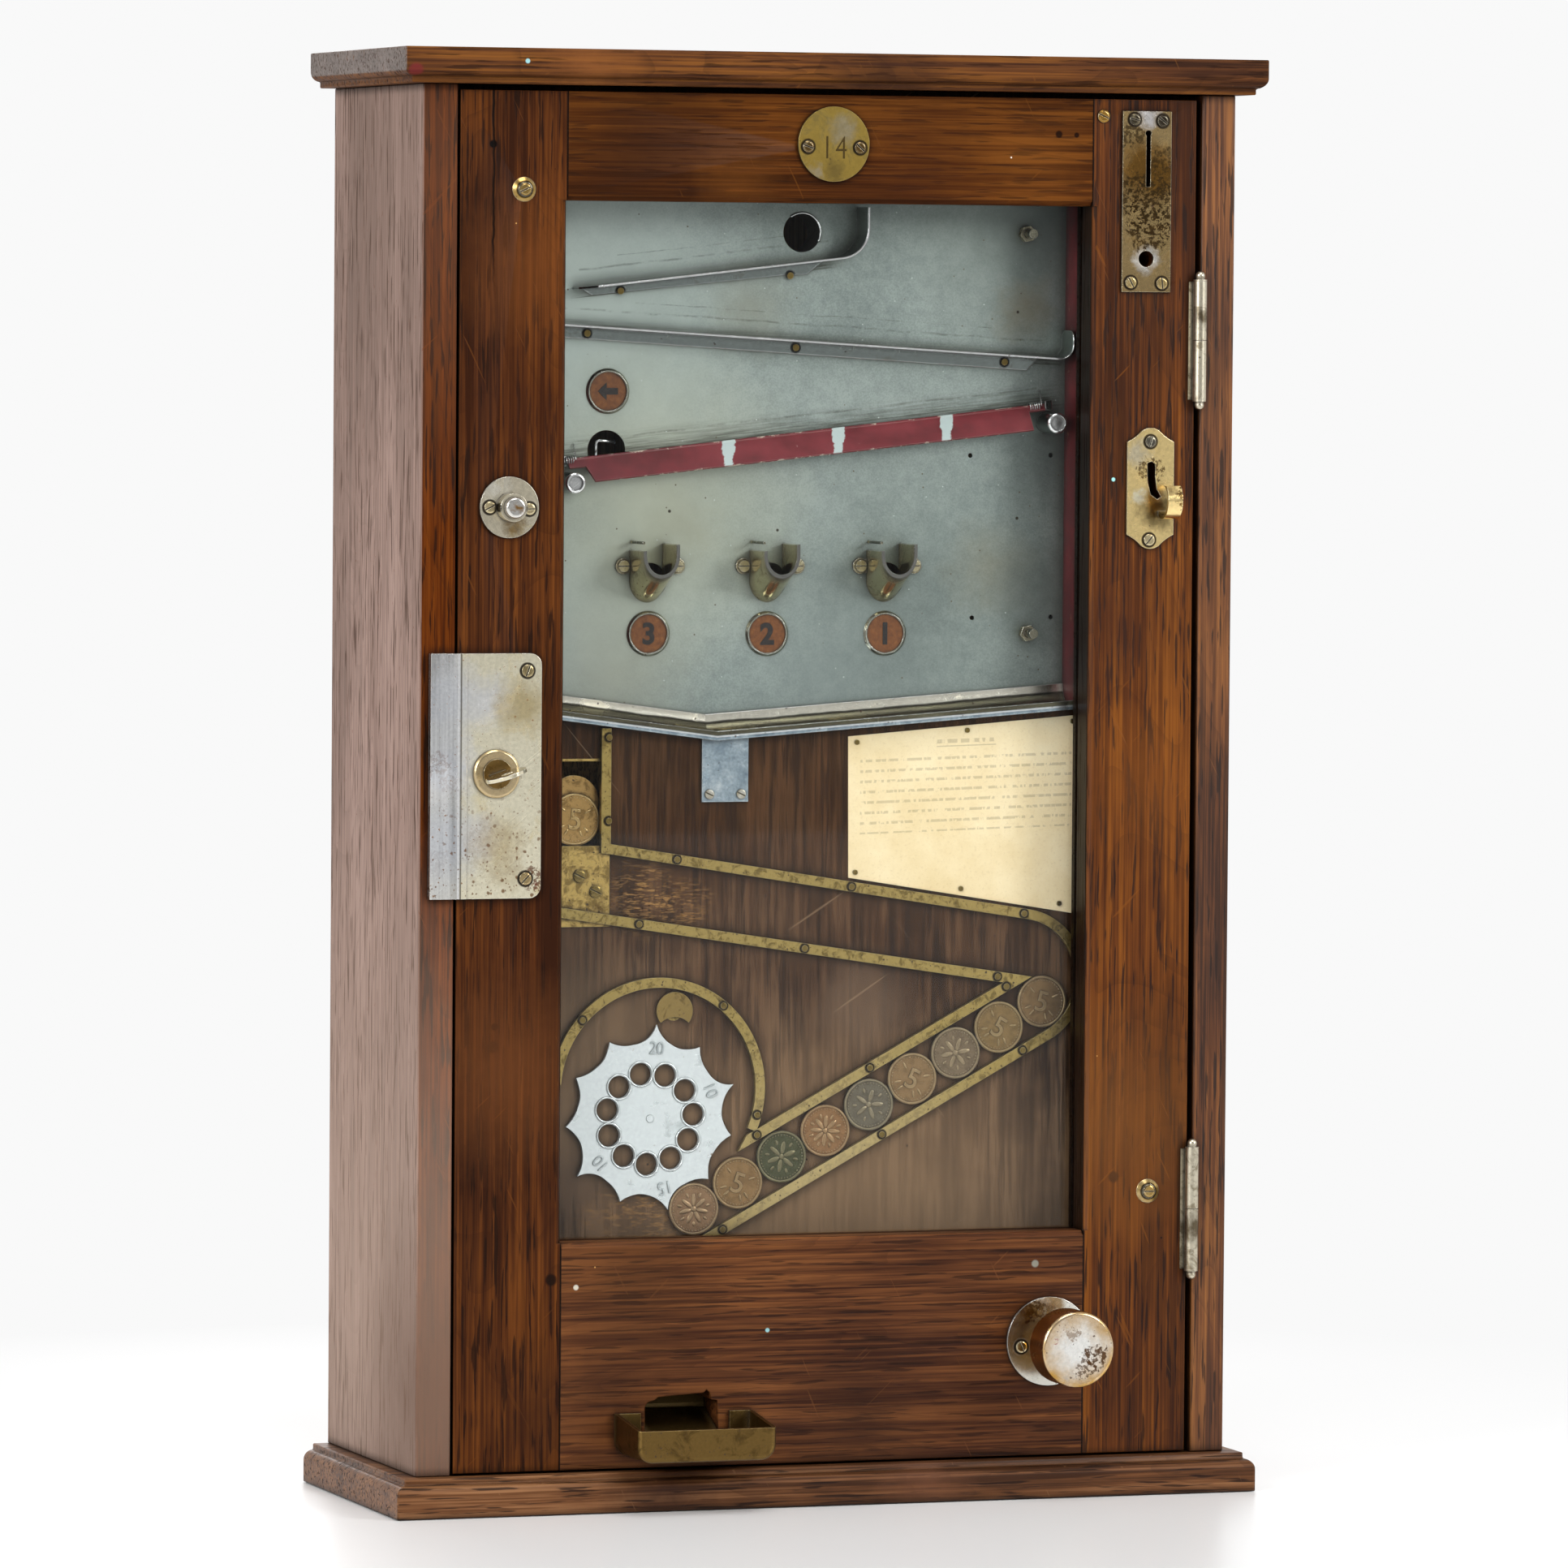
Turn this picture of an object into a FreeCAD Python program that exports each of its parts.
import FreeCAD, Part
import math
import os
from FreeCAD import Vector

# Wall-hung ball-drop coin machine in a glazed oak case.
# Millimetres. X runs right, Y runs from the door's front face into the case, Z runs up
# from the plinth's underside. The finished solids are moved along Y so that the origin
# lies under the middle of the whole machine.

# ---------------------------------------------------------------- clearances
running = 0.05
seat = 0.3
free = 0.6

# ---------------------------------------------------------------- case
case_width = 430.0
case_depth = 155.0
case_height = 727.5
side_board = 18.0
back_board = 8.0
plinth_thick = 19.5
cornice_thick = 17.7
overhang = 13.0
ovolo_radius = 5.0
moulding_fillet = 3.2
knob_reach = 44.0
wall_hole_radius = 3.0
wall_hole_inset = 47.0
wall_hole_low = 120.0
wall_hole_drop = 89.8

# ---------------------------------------------------------------- door
door_thick = 22.0
lock_side_gap = 1.4
hinge_side_gap = 3.4
door_top_gap = 3.0
door_bottom_gap = 1.2
window_width = 278.2
top_rail_high = 54.0
bottom_rail_high = 113.5
tenon_long = 25.0
tenon_thick = 8.0
tenon_shoulder = 12.0
window_chamfer = 2.5
glass_thick = 3.0
glass_rebate = 8.0
rebate_depth = 7.0
plate_sheet = 1.5
screw_shank = 1.5
screw_long = 9.0

# ---------------------------------------------------------------- knob, lock and button
knob_x = 119.4
knob_z = 78.5
knob_radius = 19.2
knob_thick = 21.0
rose_radius = 22.5
neck_radius = 8.0
knob_shaft_radius = 4.0
knob_turn = 120.0
lock_backset_share = 0.3477
lock_z = 368.8
lock_field_thick = 3.0
lock_lap_step = 0.9
lock_plate_inset = 12.7
lock_plate_lap = 4.5
lock_ridge_inset = 2.0
lock_plate_low = 306.8
lock_plate_high = 428.4
lock_ring_radius = 12.0
lock_ring_high = 2.4
lock_barrel_radius = 9.0
lock_plug_radius = 7.4
lock_cam_throw = 4.8
key_turn = 72.0
button_share = 0.4685
button_z = 500.7
button_radius = 5.3
button_reach = 13.0
button_rose_radius = 15.2
button_guide_radius = 7.0
button_guide_reach = 9.0

# ---------------------------------------------------------------- plates on the door
coin_plate_width = 26.2
coin_plate_high = 91.2
coin_plate_shift = 0.75
coin_plate_top_gap = 5.8
coin_slot_shift = 1.45
coin_slot_top_gap = 16.4
coin_slot_long = 27.5
coin_hole_radius = 4.1
coin_hole_drop = 80.3
return_shift = 4.2
return_low = 480.0
return_high = 541.1
return_half = 12.6
return_shoulder = 7.1
lip_width = 7.8
lip_radius = 9.5
lip_sheet = 1.6
tag_x = -1.0
tag_top_gap = 24.5
tag_radius = 18.75

# ---------------------------------------------------------------- hinges
hinge_radius = 3.5
hinge_pin_radius = 1.75
hinge_leaf = 1.3
hinge_finial = 5.1
hinge_lap = 3.2
upper_hinge_drop = (151.4, 121.2, 91.4)
lower_hinge = (113.4, 144.4, 174.9)

# ---------------------------------------------------------------- boards and plate
board_gap = 9.5
board_thick = 12.0
opening_lap = 1.9
reveal_thick = 12.0
reveal_proud = 5.5
opening_top_gap = 19.8
steel_sheet = 1.2
plate_lap = 18.0
rail_depth = 18.0
rail_sheet = 1.0
outlet_x = -2.1
outlet_z = 638.5
hole_radius = 10.0
return_hole = (-105.0, 528.5)
ball_radius = 7.75

# ---------------------------------------------------------------- gutter
gutter_vertex_x = -52.0
gutter_vertex_z = 395.6
gutter_left_slope = 0.1317
gutter_right_slope = 0.0762
gutter_drop = 12.4
gutter_lip = 4.7
gutter_depth = 20.5
tab_width = 24.6
tab_bottom_z = 352.0
tab_shift = 6.7
tab_screw_half = 8.4
tab_screw_rise = 3.9

# ---------------------------------------------------------------- rails, cups and discs
upper_rail_end = (14.3, 625.7)
upper_rail_slope = 0.1185
upper_rail_left = -123.3
upper_rail_corner = 15.0
upper_rail_top = 651.5
middle_rail_right = (131.0, 575.6)
middle_rail_slope = -0.0588
middle_rail_top = 590.0
middle_rail_corner = 7.0
middle_rail_flange = 6.0
rail_pin_radius = 1.7
red_left_x = -126.5
red_left_z = 522.9
red_length = 256.0
red_tilt = 6.43
red_width = 16.0
red_drop = 46.0
red_rod_radius = 1.2
post_radius = 5.3
post_spots = [(-126.5, 512.2), (130.0, 543.0)]
cup_centres = (-81.7, -18.0, 44.5)
cup_width = 19.0
cup_sheet = 1.6
cup_shift = 1.4
cup_bowl_drop = 11.5
cup_bottom_z = 452.0
cup_rise = 12.6
cup_reach = 24.0
cup_top_z = 480.0
cup_hole_z = 463.0
cup_hole_radius = 9.0
cup_ear_x = 14.3
cup_ear_z = 470.3
cup_ear_radius = 4.0
cup_screw_radius = 1.2
cup_wire_radius = 0.75
cup_wire_x = 9.6
cup_wire_z = 482.4
disc_radius = 9.75
disc_spots = [(-82.3, 436.4), (-19.3, 436.1), (43.8, 436.1), (-104.5, 558.0)]
stud_spots = [(118.5, 638.9), (120.4, 435.9)]
stud_radius = 2.4
spare_holes = [(89.2, 526.3), (132.7, 526.4), (90.8, 443.8), (133.5, 444.1)]

# ---------------------------------------------------------------- coins and tracks
coin_radius = 13.1
coin_thick = 1.8
coin_pitch = 26.5
coin_angle = 28.7
coin_count = 9
first_coin_x = -60.6
first_coin_z = 147.0
strip_width = 5.0
strip_high = 3.0
track_half_gap = 14.0
track_bend_radius = 33.0
track_tail = -6.0
divider_x = -108.6
divider_top = 389.5
upper_track_start = (-108.6, 329.3)
upper_track_fall = -9.02
inner_start_x = -137.0
inner_start_z = 298.1
inner_fall = -8.65
guard_x = -80.0
guard_z = 207.5
guard_radius = 54.0
guard_start = -23.0
guard_end = 176.0
card_points = [(20.4, 384.5), (146.5, 394.8), (146.1, 292.9), (21.0, 313.0)]
card_thick = 0.4
card_tack_radius = 1.3
card_tacks = [(25.0, 381.5), (84.3, 387.2), (141.3, 391.4), (24.6, 315.7), (81.5, 306.8), (134.8, 298.6)]

# ---------------------------------------------------------------- coin magazine and chute
magazine_left = -137.3
magazine_right = -110.0
magazine_floor = 330.5
magazine_top = 373.0
magazine_back = 108.0
gate_right = -106.1
gate_low = 290.0
gate_screws = [(-122.0, 315.6), (-113.4, 307.7)]
chute_y = 100.0
chute_room = 4.6
chute_high = 29.0
chute_drop = 66.9
chute_bend_drop = 34.9

# ---------------------------------------------------------------- payout wheel and cam
wheel_x = -84.3
wheel_z = 193.1
wheel_teeth = 11
wheel_long_tips = (0, 2, 5, 7)
wheel_long_radius = 48.0
wheel_short_radius = 44.2
wheel_notch_radius = 38.3
wheel_hole_circle = 23.0
wheel_hole_radius = 5.6
wheel_thick = 1.5
wheel_drum_radius = 20.0
wheel_first_tip = 86.1
cam_x = -71.4
cam_z = 247.1
cam_radius = 9.5
cam_hollow_radius = 10.6
cam_hollow_drop = 13.6
wheel_arbor_radius = 4.0
wheel_bush_radius = 7.0
cam_arbor_radius = 2.5
cam_bush_radius = 5.0

# ---------------------------------------------------------------- ball return, lift and drive
trough_z = 441.0
trough_left = -118.0
trough_right = 62.0
trough_gap = 11.0
trough_rise = 8.0
trough_right_share = 0.75
trough_wall_high = 13.0
trough_back = 64.0
bracket_y = 60.0
bracket_thick = 3.0
bracket_half = 8.0
bracket_low = 425.0
bracket_high = 652.0
lift_pivot_x = 119.0
lift_pivot_z = 537.0
lift_tail = 33.0
pivot_radius = 3.0
arm_y = 66.0
arm_thick = 3.0
arm_width = 8.0
rod_y = 71.0
rod_width = 8.0
rod_guide_heights = (190.0, 340.0)
crank_pin_radius = 2.5
arbor_radius = 5.0
arbor_head_radius = 9.0
drive_bush_radius = 8.0

# ---------------------------------------------------------------- payout tray and cash box
tray_left = -111.5
tray_right = -39.0
tray_depth = 40.0
tray_low = 27.2
tray_high = 48.2
tray_front_high = 43.5
tray_wall = 2.0
tray_tabs = (13.4, 12.2)
mouth_left = -95.5
mouth_right = -56.4
mouth_low = 37.0
mouth_high = 56.5
slide_rise = 11.0
slide_drop = 4.4
slide_sheet = 1.4
chute_margins = (8.0, 12.4)
deflector_rise = 24.0
payout_side_low = 34.0
payout_side_high = 118.0
cash_left = -95.0
cash_right = 80.0
cash_front = 64.0
cash_high = 105.0
cash_back_gap = 7.0

# ---------------------------------------------------------------- release latch
latch_pivot_inset = 7.0
latch_pivot_y = 27.8
latch_pin_radius = 1.5
latch_blade_half = 0.9
latch_half_high = 5.0

# ---------------------------------------------------------------- derived places
front_y = (knob_reach - case_depth) / 2
inner = case_width / 2 - side_board
side_bottom = plinth_thick
side_top = case_height - cornice_thick
door_left = -inner + lock_side_gap
door_right = inner - hinge_side_gap
door_bottom = side_bottom + door_bottom_gap
door_top = side_top - door_top_gap
stile_width = (door_right - door_left - window_width) / 2
win_left = door_left + stile_width
win_right = door_right - stile_width
win_bottom = door_bottom + bottom_rail_high
win_top = door_top - top_rail_high
left_stile_x = door_left + stile_width / 2
right_stile_x = door_right - stile_width / 2
opening_left = win_left - opening_lap
opening_right = win_right + opening_lap
opening_top = side_top - opening_top_gap
board_front = door_thick + board_gap
board_back = board_front + board_thick
plate_front = board_back
plate_back = plate_front + steel_sheet
rail_front = plate_front - rail_depth
back_face = case_depth - back_board
plate_low = magazine_top + steel_sheet + free
red_axis_y = plate_front - red_rod_radius - 0.4
wheel_step = 360.0 / wheel_teeth
row_dx = math.cos(math.radians(coin_angle))
row_dz = math.sin(math.radians(coin_angle))
coin_from_wheel = math.hypot(first_coin_x - wheel_x, first_coin_z - wheel_z)
coin_bearing = math.degrees(math.atan2(first_coin_z - wheel_z, first_coin_x - wheel_x))
hinge_axis_x = inner - hinge_side_gap / 2
upper_hinge = tuple(door_top - drop for drop in upper_hinge_drop)
lock_x = door_left + stile_width * lock_backset_share
lock_plate_left = -case_width / 2 + lock_plate_lap
lock_plate_right = win_left - lock_plate_inset
lock_ridge_x = door_left + lock_ridge_inset
lock_screws = [(lock_plate_right - 7.4, lock_plate_high - 8.6), (lock_plate_right - 8.0, lock_plate_low + 9.8)]
lock_cam_reach = lock_x + inner + lock_cam_throw
button_x = door_left + stile_width * button_share
button_screws = [(button_x - 10.3, button_z), (button_x + 10.3, button_z - 0.8)]
coin_plate_x = right_stile_x + coin_plate_shift
coin_plate_top = door_top - coin_plate_top_gap
coin_plate_low = coin_plate_top - coin_plate_high
coin_plate_screws = [(coin_plate_x - 6.9, coin_plate_top - 4.2), (coin_plate_x + 8.3, coin_plate_top - 4.8),
                     (coin_plate_x - 8.4, coin_plate_low + 4.7), (coin_plate_x + 8.4, coin_plate_low + 4.4)]
coin_slot_x = right_stile_x + coin_slot_shift
coin_slot_high = door_top - coin_slot_top_gap
coin_slot_low = coin_slot_high - coin_slot_long
coin_hole = (coin_plate_x - 0.1, door_top - coin_hole_drop)
return_x = right_stile_x + return_shift
return_screws = [(return_x - 0.2, return_high - 6.9), (return_x - 0.6, return_low + 4.5)]
tag_z = door_top - tag_top_gap
tag_screws = [(tag_x - 13.7, tag_z - 1.4), (tag_x + 13.8, tag_z - 1.7)]
washer_screws = [(left_stile_x + 5.25, door_top - 48.8), (right_stile_x + 6.75, win_bottom + 19.4)]
plain_screws = [(win_right + 5.3, door_top - 8.6)]
rose_screws = [(knob_x - 15.1, knob_z - 2.5), (knob_x + 15.1, knob_z + 2.5)]
lift_dx = lift_pivot_x - outlet_x
lift_dz = outlet_z - lift_pivot_z
lift_length = math.hypot(lift_dx, lift_dz)
lift_angle = math.degrees(math.atan2(lift_dz, lift_dx))
rod_travel = 2 * lift_tail * math.sin(math.radians(lift_angle))
crank_radius = rod_travel / (2 * math.sin(math.radians(knob_turn / 2)))
latch_pivot_x = -inner + latch_pivot_inset
latch_end_x = opening_left - reveal_thick - 2.0
latch_slot = (latch_pivot_x + 6.0, latch_end_x + 1.5, button_z - 7.7, button_z + 7.7)


# ---------------------------------------------------------------- shape helpers
def box(x0, x1, y0, y1, z0, z1):
    return Part.makeBox(x1 - x0, y1 - y0, z1 - z0, Vector(x0, y0, z0))


def rod(x, z, y0, y1, radius):
    return Part.makeCylinder(radius, y1 - y0, Vector(x, y0, z), Vector(0, 1, 0))


def ring(x, z, y0, y1, outer, bore):
    return rod(x, z, y0, y1, outer).cut(rod(x, z, y0 - 1, y1 + 1, bore))


def slab(points, y0, y1):
    corners = [Vector(x, y0, z) for x, z in points]
    face = Part.Face(Part.makePolygon(corners + corners[:1]))
    return face.extrude(Vector(0, y1 - y0, 0))


def bar(x0, z0, x1, z1, width, y0, y1):
    length = math.hypot(x1 - x0, z1 - z0)
    dx = (z1 - z0) / length * width / 2
    dz = -(x1 - x0) / length * width / 2
    return slab([(x0 + dx, z0 + dz), (x1 + dx, z1 + dz), (x1 - dx, z1 - dz), (x0 - dx, z0 - dz)], y0, y1)


def pie(x, z, radius, start, end, y0, y1):
    def at(angle):
        turn = math.radians(angle)
        return Vector(x + radius * math.cos(turn), y0, z + radius * math.sin(turn))
    arc = Part.Arc(at(start), at((start + end) / 2), at(end)).toShape()
    centre = Vector(x, y0, z)
    edges = [Part.makeLine(centre, at(start)), arc, Part.makeLine(at(end), centre)]
    return Part.Face(Part.Wire(edges)).extrude(Vector(0, y1 - y0, 0))


def bend(x, z, radius, width, start, end, y0, y1):
    whole = pie(x, z, radius + width / 2, start, end, y0, y1)
    return whole.cut(rod(x, z, y0 - 1, y1 + 1, radius - width / 2))


def fuse(shapes):
    first = shapes[0]
    if len(shapes) > 1:
        first = first.multiFuse(shapes[1:])
    return first.removeSplitter()


def cut_all(shape, tools):
    for tool in tools:
        shape = shape.cut(tool)
    return shape


def turned(shape, x, z, angle):
    copy = shape.copy()
    copy.rotate(Vector(x, 0, z), Vector(0, 1, 0), angle)
    return copy


def save(name, *shapes):
    solids = []
    for shape in shapes:
        solids.extend(shape.Solids)
    whole = Part.makeCompound(solids) if len(solids) > 1 else solids[0].copy()
    whole.translate(Vector(0, front_y, 0))
    whole.exportStep("parts/" + name + ".step")


# ---------------------------------------------------------------- screws and rivets


def screw(x, z, face, head=3.0, high=1.1, slot=25.0):
    # Slotted raised head over a short shank that runs back from the face.
    head_solid = rod(x, z, face - high, face, head)
    dome = Part.makeSphere(head * 2.2, Vector(x, face - high + head * 2.2 - 0.4, z))
    groove = turned(box(x - head * 1.2, x + head * 1.2, face - high - 1, face - high * 0.45,
                        z - 0.35, z + 0.35), x, z, slot)
    shank = rod(x, z, face, face + screw_long, screw_shank)
    return fuse([head_solid.common(dome), shank]).cut(groove)


def shank_hole(x, z, face):
    return rod(x, z, face - 0.5, face + screw_long + 0.01, screw_shank)


def rivet(x, z, face, head=1.6, high=0.8, depth=None):
    long = strip_high + 4 if depth is None else depth
    button = rod(x, z, face - high, face, head)
    return fuse([button, rod(x, z, face, face + long, head * 0.55)])


def rivet_hole(x, z, face, head=1.6, depth=None):
    long = strip_high + 4 if depth is None else depth
    return rod(x, z, face - 0.5, face + long + 0.01, head * 0.55)


# ---------------------------------------------------------------- case
def moulded_board(thick, flip):
    # Vertical edge, ovolo and fillet on the front and both ends, flush at the back.
    half = case_width / 2
    step = overhang - ovolo_radius
    wide = box(-half - overhang, half + overhang, -overhang, case_depth, 0, thick - moulding_fillet)
    edges = []
    for edge in wide.Edges:
        mid = edge.CenterOfMass
        on_top = abs(mid.z - (thick - moulding_fillet)) < 0.01
        at_back = abs(mid.y - case_depth) < 0.01
        if on_top and not at_back:
            edges.append(edge)
    wide = wide.makeFillet(ovolo_radius, edges)
    cap = box(-half - step, half + step, -step, case_depth, thick - moulding_fillet, thick)
    board = fuse([wide, cap])
    if flip:
        board = board.mirror(Vector(0, 0, 0), Vector(0, 0, 1))
        board.translate(Vector(0, 0, case_height))
    return board


def make_case():
    save("plinth", moulded_board(plinth_thick, False))
    save("cornice", moulded_board(cornice_thick, True))
    half = case_width / 2
    pocket = box(-inner - 8, -inner + 1, door_thick, door_thick + 6, lock_z - 16, lock_z + 26)
    strike_seat = box(-inner - 1, -inner + 1, door_thick, door_thick + 10, lock_z - 26, lock_z + 36)
    left = box(-half, -inner, 0, case_depth, side_bottom, side_top)
    save("side_left", left.cut(pocket).cut(strike_seat))
    save("side_right", box(inner, half, 0, case_depth, side_bottom, side_top))
    strike = box(-inner - 1, -inner, door_thick, door_thick + 10, lock_z - 26, lock_z + 36)
    save("lock_strike", strike.cut(pocket))
    back = box(-inner, inner, back_face, case_depth, side_bottom, side_top)
    holes = []
    for x in (wall_hole_inset - inner, inner - wall_hole_inset):
        for z in (wall_hole_low, side_top - wall_hole_drop):
            holes.append(rod(x, z, back_face - 1, case_depth + 1, wall_hole_radius))
    save("back_panel", cut_all(back, holes))


# ---------------------------------------------------------------- gutter and board openings
def crease_z(x):
    away = x - gutter_vertex_x
    slope = gutter_right_slope if away > 0 else -gutter_left_slope
    return gutter_vertex_z + away * slope


def make_gutter():
    # Folded steel channel: quarter round from the plate, flat floor, upturned front lip.
    def profile(x):
        top = crease_z(x)
        back = plate_front
        radius = gutter_drop - steel_sheet
        floor = top - gutter_drop
        front = plate_front - gutter_depth

        def p(y, z):
            return Vector(x, y, z)
        k = math.sqrt(0.5)
        centre_y = back - radius - steel_sheet
        outer = radius + steel_sheet
        edges = [
            Part.Arc(p(back, top), p(centre_y + outer * k, top - outer * k), p(centre_y, floor)).toShape(),
            Part.makeLine(p(centre_y, floor), p(front, floor)),
            Part.makeLine(p(front, floor), p(front, floor + gutter_lip)),
            Part.makeLine(p(front, floor + gutter_lip), p(front + steel_sheet, floor + gutter_lip)),
            Part.makeLine(p(front + steel_sheet, floor + gutter_lip),
                          p(front + steel_sheet, floor + steel_sheet)),
            Part.makeLine(p(front + steel_sheet, floor + steel_sheet), p(centre_y, floor + steel_sheet)),
            Part.Arc(p(centre_y, floor + steel_sheet), p(centre_y + radius * k, top - radius * k),
                     p(back - steel_sheet, top)).toShape(),
            Part.makeLine(p(back - steel_sheet, top), p(back, top)),
        ]
        return Part.Face(Part.Wire(edges))

    def run(x_end):
        away = x_end - gutter_vertex_x
        return profile(gutter_vertex_x).extrude(Vector(away, 0, crease_z(x_end) - gutter_vertex_z))

    left = run(opening_left)
    right = run(opening_right)
    tab_x = gutter_vertex_x + tab_shift
    tab_top = gutter_vertex_z - gutter_drop + steel_sheet / 2
    tab = box(tab_x - tab_width / 2, tab_x + tab_width / 2, board_front - steel_sheet, board_front,
              tab_bottom_z, tab_top + 0.5)
    spots = [(tab_x + side * tab_screw_half, tab_bottom_z + tab_screw_rise, board_front - steel_sheet)
             for side in (-1, 1)]
    save("ball_gutter", cut_all(fuse([left, right, tab]), [shank_hole(*spot) for spot in spots]))
    return spots


# ---------------------------------------------------------------- coin tracks


def beside_row(offset, along):
    # A point a distance to the right of the coins' centre line and along it.
    return (first_coin_x + offset * row_dz + along * row_dx,
            first_coin_z - offset * row_dx + along * row_dz)


def track_shapes():
    y0 = board_front - strip_high
    y1 = board_front
    offset = track_half_gap + strip_width / 2
    fall = math.radians(upper_track_fall)
    ax, az = math.cos(fall), math.sin(fall)
    x0, z0 = upper_track_start
    bx, bz = beside_row(offset, 0)
    r = track_bend_radius
    # Bend centre: a radius below the upper run and a radius inside the lower run.
    px, pz = x0 + az * r, z0 - ax * r
    qx, qz = bx - row_dz * r, bz + row_dx * r
    det = ax * (-row_dz) + row_dx * az
    t = ((qx - px) * (-row_dz) + row_dx * (qz - pz)) / det
    cx, cz = px + ax * t, pz + az * t
    upper_end = (cx - az * r, cz + ax * r)
    lower_end = (cx + row_dz * r, cz - row_dx * r)
    start = 90 + upper_track_fall
    end = -90 + coin_angle
    outer = fuse([
        bar(x0 + ax * 0.6, z0 + az * 0.6, upper_end[0], upper_end[1], strip_width, y0, y1),
        bend(cx, cz, r, strip_width, end, start, y0, y1),
        bar(*beside_row(offset, track_tail), *lower_end, strip_width, y0, y1),
        bar(divider_x, z0 - strip_width / 2, divider_x, divider_top, strip_width, y0, y1),
    ])
    # Inner track: one strip folded to a sharp point at the bend.
    fall_in = math.radians(inner_fall)
    dx, dz = math.cos(fall_in), math.sin(fall_in)
    half = strip_width / 2

    def meet(line_offset, lift):
        # Crossing of the upper run, lifted by a distance, with a line beside the row.
        ox, oz = inner_start_x - dz * lift, inner_start_z + dx * lift
        lx, lz = beside_row(line_offset, 0)
        d = dx * (-row_dz) + row_dx * dz
        s = ((lx - ox) * (-row_dz) + row_dx * (lz - oz)) / d
        return (ox + dx * s, oz + dz * s)

    near = -(offset - half)
    far = -(offset + half)
    tail_near = beside_row(near, 34.0)
    tail_far = beside_row(far, 42.0)
    inner_track = slab([
        (inner_start_x - dz * half, inner_start_z + dx * half), meet(near, half), tail_near, tail_far,
        meet(far, -half), (inner_start_x + dz * half, inner_start_z - dx * half)], y0, y1)
    return outer, inner_track, (cx, cz), upper_end


def gate_shape(outer, inner_track):
    plate = box(magazine_left - steel_sheet, gate_right, board_front - steel_sheet, board_front,
                gate_low, magazine_floor)
    plate = plate.cut(outer).cut(inner_track)
    # The plate ends on the inner track's upper edge.
    return max(plate.Solids, key=lambda s: s.BoundBox.ZMax)


def make_tracks(pins):
    outer, inner_track, centre, upper_end = track_shapes()
    y0 = board_front - strip_high
    guard = bend(guard_x, guard_z, guard_radius, strip_width, guard_start, guard_end, y0, board_front)
    guard = max(guard.cut(inner_track).Solids, key=lambda s: s.Volume)
    fall = math.radians(upper_track_fall)
    x0, z0 = upper_track_start
    spots = [(divider_x + 1.2, 385.0), (divider_x + 1.2, 343.1)]
    for along in (37.9, 132.0, 226.3):
        spots.append((x0 + along * math.cos(fall), z0 + along * math.sin(fall)))
    offset = track_half_gap + strip_width / 2
    for along in (190.8, 104.6, 8.0):
        spots.append(beside_row(offset, along))
    inner_spots = []
    fall_in = math.radians(inner_fall)
    for along in (46.5, 135.5, 240.5):
        inner_spots.append((inner_start_x + along * math.cos(fall_in),
                            inner_start_z + along * math.sin(fall_in)))
    for along in (198.5, 115.0, 46.5):
        inner_spots.append(beside_row(-offset, along))
    guard_spots = []
    for angle in (138.5, 51.0, -14.5):
        turn = math.radians(angle)
        guard_spots.append((guard_x + guard_radius * math.cos(turn), guard_z + guard_radius * math.sin(turn)))
    for group, strip in ((spots, "outer"), (inner_spots, "inner"), (guard_spots, "guard")):
        for x, z in group:
            pins.append((x, z, y0, 1.6, strip_high + 4))
    outer_cut = cut_all(outer, [rivet_hole(x, z, y0) for x, z in spots])
    inner_cut = cut_all(inner_track, [rivet_hole(x, z, y0) for x, z in inner_spots])
    guard_cut = cut_all(guard, [rivet_hole(x, z, y0) for x, z in guard_spots])
    save("coin_track_outer", outer_cut)
    save("coin_track_inner", inner_cut)
    save("wheel_guard", guard_cut)
    card = slab(card_points, board_front - card_thick, board_front)
    for x, z in card_tacks:
        pins.append((x, z, board_front - card_thick, card_tack_radius, 5.0))
    card = card.cut(outer)
    save("instruction_card", cut_all(card, [rivet_hole(x, z, board_front - card_thick, card_tack_radius, 5.0)
                                            for x, z in card_tacks]))
    return outer, inner_track


# ---------------------------------------------------------------- coin magazine, chute and stored coins
def make_magazine(outer, inner_track, screws):
    wall = steel_sheet
    shell = box(magazine_left - wall, magazine_right + wall, board_front, magazine_back,
                magazine_floor - wall, magazine_top + wall)
    room = box(magazine_left, magazine_right, board_front - 1, magazine_back - wall,
               magazine_floor, magazine_top)
    mouth = box(magazine_right - 1, magazine_right + wall + 1, 100.0, magazine_back - wall,
                magazine_floor + 6, magazine_top + wall + 1)
    sheet = fuse([shell.cut(room).cut(mouth), gate_shape(outer, inner_track)])
    face = board_front - steel_sheet
    for x, z in gate_screws:
        screws.append((x, z, face, 3.2))
    save("coin_magazine", cut_all(sheet, [shank_hole(x, z, face) for x, z in gate_screws]))
    coins = []
    for lift, k in ((0.0, 0), (9.0, 1), (0.0, 2), (6.0, 3), (0.0, 4)):
        y = board_front + 2.0 + k * (coin_thick + 0.3)
        coins.append(rod(-123.5, magazine_floor + coin_radius + lift, y, y + coin_thick, coin_radius))
    save("stored_coins", *coins)


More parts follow.
